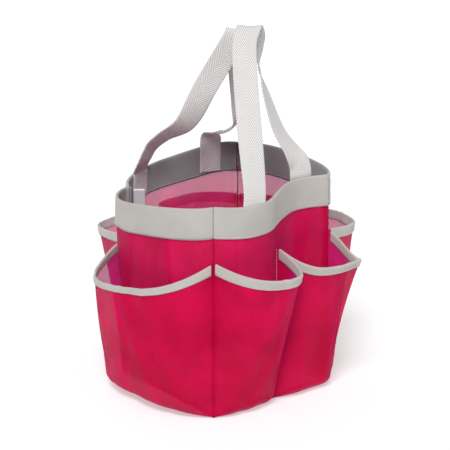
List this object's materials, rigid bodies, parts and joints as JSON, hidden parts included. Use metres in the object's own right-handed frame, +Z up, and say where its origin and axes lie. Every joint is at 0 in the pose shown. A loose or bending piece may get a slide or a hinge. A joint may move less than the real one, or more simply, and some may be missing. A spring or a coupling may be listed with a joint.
{
  "type": "mesh shower caddy",
  "caption": "Soft square mesh caddy, open at the top, with bound outside pockets, a wide rim band and a pair of swinging webbing handles.",
  "frame": {"origin": "middle of the base's underside, on the surface the caddy stands on", "axes": "+Z up out of the mouth; -Y is the front, the side whose handle is nearest the viewer; +X is to the right seen from the front"},
  "size_m": [0.2901, 0.295, 0.3883],
  "materials": {
    "mesh": "fine woven nylon mesh, slightly see-through",
    "tape": "matte grosgrain tape",
    "webbing": "matte herringbone webbing",
    "thread": "matte sewing thread",
    "label": "plain woven satin tape, unprinted"
  },
  "bodies": {
    "bucket": {"base_panel": "mesh", "base_seam_tape": "mesh", "front_wall": "mesh", "right_wall": "mesh", "back_wall": "mesh", "left_wall": "mesh", "front_rim_band": "tape", "right_rim_band": "tape", "back_rim_band": "tape", "left_rim_band": "tape", "front_left_seam_tape": "mesh", "front_right_seam_tape": "mesh", "back_right_seam_tape": "mesh", "back_left_seam_tape": "mesh", "front_left_pocket": "mesh", "front_right_pocket": "mesh", "right_front_pocket": "mesh", "right_back_pocket": "mesh", "back_right_pocket": "mesh", "back_left_pocket": "mesh", "left_pocket": "mesh", "front_left_binding": "tape", "front_right_binding": "tape", "right_front_binding": "tape", "right_back_binding": "tape", "back_right_binding": "tape", "back_left_binding": "tape", "left_binding": "tape", "pocket_divider_stitching": "thread", "rim_stitching": "thread", "handle_bar_tacks": "thread", "front_handle_ends": "webbing", "back_handle_ends": "webbing", "care_label": "label"},
    "front_loop": {"front_handle": "webbing"},
    "back_loop": {"back_handle": "webbing"}
  },
  "joints": [
    {"name": "front_handle_swing", "type": "hinge", "parent": "bucket", "child": "front_loop", "pos_m": [0.00849, -0.0778, 0.23321], "axis": [0.9502, 0.3034, 0.071], "range_deg": [0, 105]},
    {"name": "back_handle_swing", "type": "hinge", "parent": "bucket", "child": "back_loop", "pos_m": [0.00665, 0.09646, 0.22952], "axis": [-0.9753, 0.1348, -0.1749], "range_deg": [0, 105]}
  ]
}
